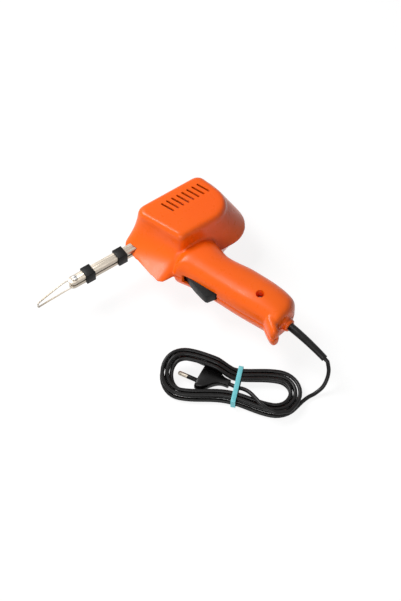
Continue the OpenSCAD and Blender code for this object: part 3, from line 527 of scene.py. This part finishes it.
def tinned_wire():
    material, nodes, links, shader, place = finish_of("tinned_wire", (0.6, 0.57, 0.52), 1, 0.35)
    split = nodes.new("ShaderNodeSeparateXYZ")
    links.new(place, split.inputs["Vector"])
    heat = nodes.new("ShaderNodeMapRange")
    heat.inputs["From Min"].default_value = HEAT_FROM
    heat.inputs["From Max"].default_value = HEAT_TO
    links.new(split.outputs["X"], heat.inputs["Value"])
    tarnish = tint(nodes, links, heat.outputs["Result"],
                   [(0, (0.62, 0.6, 0.56)), (0.12, (0.35, 0.31, 0.26)),
                    (0.3, (0.5, 0.42, 0.32)), (1, (0.72, 0.66, 0.58))])
    links.new(tarnish, shader.inputs["Base Color"])
    blotch = grain(nodes, links, place, 400, 4)
    links.new(spread(nodes, links, blotch, 0.24, 0.5), shader.inputs["Roughness"])
    relief(nodes, links, shader, blotch, 0.3, 0.0003)
    return material


def metal(name, dark, light, low, high):
    material, nodes, links, shader, place = finish_of(name, light, 1, low)
    worn = grain(nodes, links, place, WEAR, 4)
    links.new(tint(nodes, links, worn, [(0.3, dark), (0.7, light)]), shader.inputs["Base Color"])
    links.new(spread(nodes, links, worn, low, high), shader.inputs["Roughness"])
    relief(nodes, links, shader, worn, 0.12)
    return material


def plain_plastic(name, dark, light, low, high, scale=WEAR, gloss=0.5):
    material, nodes, links, shader, place = finish_of(name, light, 0, low, 0, gloss)
    mottle = grain(nodes, links, place, scale, 3)
    links.new(tint(nodes, links, mottle, [(0.3, dark), (0.7, light)]), shader.inputs["Base Color"])
    links.new(spread(nodes, links, mottle, low, high), shader.inputs["Roughness"])
    relief(nodes, links, shader, grain(nodes, links, place, MOULD_GRAIN, 2), 0.2)
    return material


FINISHES = {
    "casing": orange_plastic(),
    "black_plastic": black_plastic(),
    "plated_bar": nickel_plate(),
    "tip_wire": tinned_wire(),
    "screw_steel": metal("screw_steel", (0.42, 0.42, 0.42), (0.62, 0.61, 0.6), 0.25, 0.4),
    "copper": metal("copper", (0.6, 0.25, 0.12), (0.85, 0.45, 0.26), 0.25, 0.45),
    "core_steel": metal("core_steel", (0.1, 0.1, 0.11), (0.2, 0.2, 0.22), 0.4, 0.6),
    "brass": metal("brass", (0.6, 0.44, 0.16), (0.8, 0.64, 0.3), 0.25, 0.4),
    "pale_plastic": plain_plastic("pale_plastic", (0.7, 0.68, 0.6), (0.8, 0.78, 0.7), 0.4, 0.55),
    "lead_rubber": plain_plastic("lead_rubber", (0.002, 0.0018, 0.0018), (0.005, 0.0045, 0.0045),
                                 0.26, 0.38, 260, 0.22),
    "tie_plastic": plain_plastic("tie_plastic", (0.13, 0.55, 0.6), (0.2, 0.66, 0.72),
                                 0.25, 0.38, 200),
}
SLOT_OF = {part["node"]: part["material_slot"] for part in frame["record"]["subparts"]}


def dress(piece, slot_name):
    piece.data.materials.clear()
    piece.data.materials.append(FINISHES[slot_name])


for node_name, node_piece in frame["nodes"].items():
    for place in node_piece.material_slots:
        place.material = FINISHES[SLOT_OF[node_name]]
    if not node_piece.material_slots:
        node_piece.data.materials.append(FINISHES[SLOT_OF[node_name]])


def stand_for(piece, body, *nodes):
    dress(piece, SLOT_OF[nodes[0]])
    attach(piece, body)
    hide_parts(*nodes)


# ---- fine copies of machined and moulded pieces, with their edges broken
WELD, FLAT_ANGLE = 2e-6, math.radians(0.8)


def broken_edges(node_name, name, width, body="gun", segments=2, angle=32):
    source = frame["nodes"][node_name]
    mesh = source.data.copy()
    piece = bpy.data.objects.new(name, mesh)
    bpy.context.scene.collection.objects.link(piece)
    mesh.transform(source.matrix_world)
    work = bmesh.new()
    work.from_mesh(mesh)
    bmesh.ops.remove_doubles(work, verts=work.verts, dist=WELD)
    bmesh.ops.dissolve_limit(work, angle_limit=FLAT_ANGLE, verts=work.verts, edges=work.edges)
    work.to_mesh(mesh)
    work.free()
    mesh.name = name
    if width:
        apply_modifier(piece, "BEVEL", width=width * MM, segments=segments,
                       limit_method="ANGLE", angle_limit=math.radians(angle),
                       use_clamp_overlap=True, harden_normals=False)
    only(piece)
    bpy.ops.object.shade_smooth_by_angle(angle=math.radians(angle))
    stand_for(piece, body, node_name)
    return piece


def add_tube(name, points, diameter, rounds=4, shares=None, as_mesh=False):
    data = bpy.data.curves.new(name, "CURVE")
    data.dimensions = "3D"
    line = data.splines.new("POLY")
    line.points.add(len(points) - 1)
    for spot, p in zip(line.points, points):
        spot.co = (p.x * MM, p.y * MM, p.z * MM, 1)
    for spot, share in zip(line.points, shares or []):
        spot.radius = share
    data.bevel_depth = diameter / 2 * MM
    data.bevel_resolution = rounds
    data.use_fill_caps = True
    piece = bpy.data.objects.new(name, data)
    bpy.context.scene.collection.objects.link(piece)
    if as_mesh:
        only(piece)
        bpy.ops.object.convert(target="MESH")
        piece = bpy.context.active_object
        bpy.ops.object.shade_smooth_by_angle(angle=math.radians(50))
    return piece


# The plug's sections: distance from the lead's end, half width and half thickness
PLUG_STATIONS = [(0, 3.5, 3.2), (5, 3.5, 3.2), (8, 4.2, 3.5), (12, 6.9, 4.3), (16, 12, 5),
                 (19, 14.8, 5.3), (22, 16.5, 5.5), (25.5, 17, 5.5), (26.6, 16.7, 5.2),
                 (27, 16, 4.6)]
PLUG_FACETS, PLUG_POWER = 28, 0.5


def squared(value):
    return math.copysign(abs(value) ** PLUG_POWER, value)


def add_plug():
    turn = Matrix.Rotation(HANK_YAW, 4, "Z") \
        @ Matrix.Translation(Vector((PLUG_NECK.x, PLUG_NECK.y, 0))) \
        @ Matrix.Rotation(math.pi - PLUG_TILT, 4, "Z")
    neck = TIE_AT + Vector((0, 0, PLUG_NECK.z))
    rings = []
    for d, w, h in PLUG_STATIONS:
        ring = []
        for i in range(PLUG_FACETS):
            a = 2 * math.pi * (i + 0.5) / PLUG_FACETS
            p = Vector((d, w * squared(math.cos(a)), h * squared(math.sin(a))))
            ring.append(neck + (turn @ p) - GUN_ZERO)
        rings.append(ring)
    plug = loft("plug_moulding", rings)
    apply_modifier(plug, "BEVEL", width=0.5 * MM, segments=2, limit_method="ANGLE",
                   angle_limit=math.radians(50))
    apply_modifier(plug, "SUBSURF", levels=2, render_levels=2)
    only(plug)
    bpy.ops.object.shade_smooth_by_angle(angle=math.radians(60))
    return plug


# ---- the lead and what is on it
cord = add_tube("mains_lead", cord_points, LEAD_D)
plug = add_plug()
stand_for(plug, "gun", "plug_body")
tie = broken_edges("hank_tie", "tie_band", 0.12, angle=60)
pins = broken_edges("plug_pins", "plug_pin_pair", 0)
pin_guards = broken_edges("pin_sleeves", "pin_guards", 0.15)
stand_for(cord, "gun", "cord_lead", "cord_hank", "cord_tail")
SLEEVE_D, SLEEVE_END, SLEEVE_STEPS = 7.6, 0.8, 14
in_collar = [GUN_ZERO + EXIT_AT + along * EXIT_HEADING for along in (-5, -2, 1, 4, 7)]
in_air = [on_sleeve(i / SLEEVE_STEPS) for i in range(SLEEVE_STEPS + 1)]
taper = [1] * len(in_collar)
taper += [1 - (1 - SLEEVE_END) * i / SLEEVE_STEPS for i in range(SLEEVE_STEPS + 1)]
lip = in_air[-1] + (in_air[-1] - in_air[-2]).normalized() * 0.25
sleeve = add_tube("lead_sleeve", in_collar + in_air + [lip], SLEEVE_D, 7,
                  taper + [SLEEVE_END - 0.08], True)
stand_for(sleeve, "gun", "cord_sleeve")

# ---- casing
skin = casing_skin()
for half_name, half_node, is_upper in (("upper_casing", "upper_shell", True),
                                       ("lower_casing", "lower_shell", False)):
    half = casing_half(half_name, half_node, skin, is_upper)
    dress(half, "casing")
bpy.data.objects.remove(skin)

# ---- bars, clamps, tip, trigger and screws
for node_name, name, width in (
        ("upper_bar", "upper_heating_bar", 0.35), ("lower_bar", "lower_heating_bar", 0.35),
        ("front_clamp", "front_bar_clamp", 0.5), ("rear_clamp", "rear_bar_clamp", 0.5),
        ("tip_screws", "wire_screws", 0.25), ("handle_screw", "grip_screw_bright", 0.2),
        ("head_screws", "casing_screws", 0.2)):
    broken_edges(node_name, name, width)
broken_edges("trigger", "finger_trigger", 0.7, body="trigger", segments=3)

SPRING_X, SPRING_Y, SPRING_R, SPRING_WIRE, SPRING_TURNS = (37.55, 47.65), -84, 2.55, 0.9, 4
COIL_STEPS = 24 * SPRING_TURNS
coil = [GUN_ZERO + Vector((SPRING_X[0] + (SPRING_X[1] - SPRING_X[0]) * i / COIL_STEPS,
                           SPRING_Y + SPRING_R * math.cos(math.radians(15 * i)),
                           SPRING_R * math.sin(math.radians(15 * i))))
        for i in range(COIL_STEPS + 1)]
spring = add_tube("return_spring", coil, SPRING_WIRE, 3, None, True)
stand_for(spring, "gun", "trigger_spring")
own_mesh(spring)

# The tip wire: its two ends lie in the bars, its bend is beyond them
WIRE_DY, WIRE_D, TIP_REACH, WIRE_DEEP = 2.6, 1.5, 35.5, 8
TIP_DROP, WIRE_TURN, WIRE_TURN_AT = (-3.3, -1.6), 1.2, 0.965
OUTWARD = [(0, 0), (0.12, 0), (0.3, 0.12), (0.6, 0.42), (0.85, 0.66), (0.96, 0.78)]
BACK = [(0.96, 0.74), (0.85, 0.6), (0.66, 0.32), (0.45, 0.3), (0.24, 0.02), (0.12, 0), (0, 0)]


def wire_point(side, share):
    # share: how far along towards the bend, and how far over to its place
    along, over = share
    y0, y1 = BAR_Y + side * WIRE_DY, BAR_Y + TIP_DROP[0] + side * WIRE_TURN * 0.4
    z0, z1 = side * BAR_Z, TIP_DROP[1] + side * WIRE_TURN
    return Vector((-BAR_REACH - TIP_REACH * along, y0 + (y1 - y0) * over, z0 + (z1 - z0) * over))


def bend_point(degrees):
    a = math.radians(degrees)
    return Vector((-BAR_REACH - TIP_REACH * WIRE_TURN_AT - WIRE_TURN * math.cos(a) * 0.9,
                   BAR_Y + TIP_DROP[0] + WIRE_TURN * 0.4 * math.sin(a),
                   TIP_DROP[1] + WIRE_TURN * math.sin(a)))


wire = [Vector((-BAR_REACH + WIRE_DEEP, BAR_Y + WIRE_DY, BAR_Z))]
wire += [wire_point(1, share) for share in OUTWARD]
wire += [bend_point(degrees) for degrees in (60, 20, -20, -60)]
wire += [wire_point(-1, share) for share in BACK]
wire += [Vector((-BAR_REACH + WIRE_DEEP, BAR_Y - WIRE_DY, -BAR_Z))]
tip = add_tube("bent_tip_wire", [GUN_ZERO + p for p in smooth_path(wire, 3)], WIRE_D, 5)
stand_for(tip, "gun", "tip_loop")


# ---- table, light and white surroundings
def white_to_camera(nodes, links, dim, bright, output, share):
    path = nodes.new("ShaderNodeLightPath")
    seen = path.outputs["Is Camera Ray"]
    for name in ("Is Glossy Ray", "Is Transmission Ray"):
        either = nodes.new("ShaderNodeMath")
        either.operation = "MAXIMUM"
        links.new(seen, either.inputs[0])
        links.new(path.outputs[name], either.inputs[1])
        seen = either.outputs["Value"]
    part = nodes.new("ShaderNodeMath")
    part.operation = "MULTIPLY"
    part.inputs[1].default_value = share
    links.new(seen, part.inputs[0])
    mix = nodes.new("ShaderNodeMixShader")
    links.new(part.outputs["Value"], mix.inputs["Fac"])
    links.new(dim.outputs[0], mix.inputs[1])
    links.new(bright.outputs[0], mix.inputs[2])
    links.new(mix.outputs["Shader"], output.inputs["Surface"])


TABLE_SIZE, TABLE_Z, TABLE_GLOW, TABLE_WHITE = 12, -0.00005, 1.1, 0.8
SKY_STRENGTH = 0.8
bpy.ops.mesh.primitive_plane_add(size=TABLE_SIZE, location=(0, 0, TABLE_Z))
floor = bpy.context.active_object
floor.name = "white_table"
surface = bpy.data.materials.new("white_table")
surface.use_nodes = True
table_nodes = surface.node_tree.nodes
dull = table_nodes.new("ShaderNodeBsdfDiffuse")
dull.inputs["Color"].default_value = (0.85, 0.85, 0.85, 1)
glow = table_nodes.new("ShaderNodeEmission")
glow.inputs["Strength"].default_value = TABLE_GLOW
white_to_camera(table_nodes, surface.node_tree.links, dull, glow,
                table_nodes["Material Output"], TABLE_WHITE)
floor.data.materials.append(surface)

world = bpy.data.worlds.new("studio")
bpy.context.scene.world = world
world.use_nodes = True
world_nodes = world.node_tree.nodes
sky = world_nodes["Background"]
sky.inputs["Strength"].default_value = SKY_STRENGTH
seen_sky = world_nodes.new("ShaderNodeBackground")
seen_sky.inputs["Color"].default_value = (1, 1, 1, 1)
white_to_camera(world_nodes, world.node_tree.links, sky, seen_sky, world_nodes["World Output"], 1)


def soft_light(name, at, aim, size, power):
    data = bpy.data.lights.new(name, "AREA")
    data.shape, data.size, data.energy = "SQUARE", size, power
    lamp = bpy.data.objects.new(name, data)
    bpy.context.scene.collection.objects.link(lamp)
    lamp.location = at
    lamp.rotation_euler = (Vector(aim) - Vector(at)).to_track_quat("-Z", "Y").to_euler()


soft_light("key_light", (-0.35, 0.7, 1.1), (0.02, 0, 0.02), 0.7, 17)
soft_light("fill_light", (-0.9, -0.7, 0.7), (0, -0.03, 0.03), 0.8, 7)
bpy.context.scene.view_settings.view_transform = "Standard"
